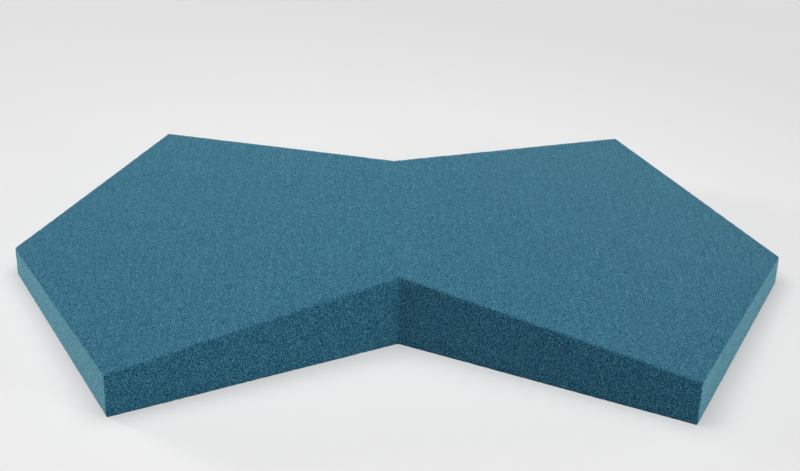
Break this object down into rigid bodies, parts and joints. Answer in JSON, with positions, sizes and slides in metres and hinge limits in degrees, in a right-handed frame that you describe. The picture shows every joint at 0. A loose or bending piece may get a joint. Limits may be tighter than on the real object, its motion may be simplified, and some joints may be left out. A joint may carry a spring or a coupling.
{
  "type": "acoustic wall panel",
  "caption": "One-piece foam wall panel in a bow-tie outline of two mirrored five-sided halves, with a flat back and a front that falls from a low ridge to a point at each end.",
  "frame": {"origin": "centre of the flat back, in the plane of the wall", "axes": "+X along the length, from point to point; +Y across the panel, from notch to notch; +Z out of the wall, towards the front"},
  "size_m": [0.5998, 0.3992, 0.0558],
  "materials": {
    "foam": "matt, fine-grained soft foam, dyed deep teal all through"
  },
  "bodies": {
    "root": {"foam_panel": "foam"}
  },
  "joints": []
}
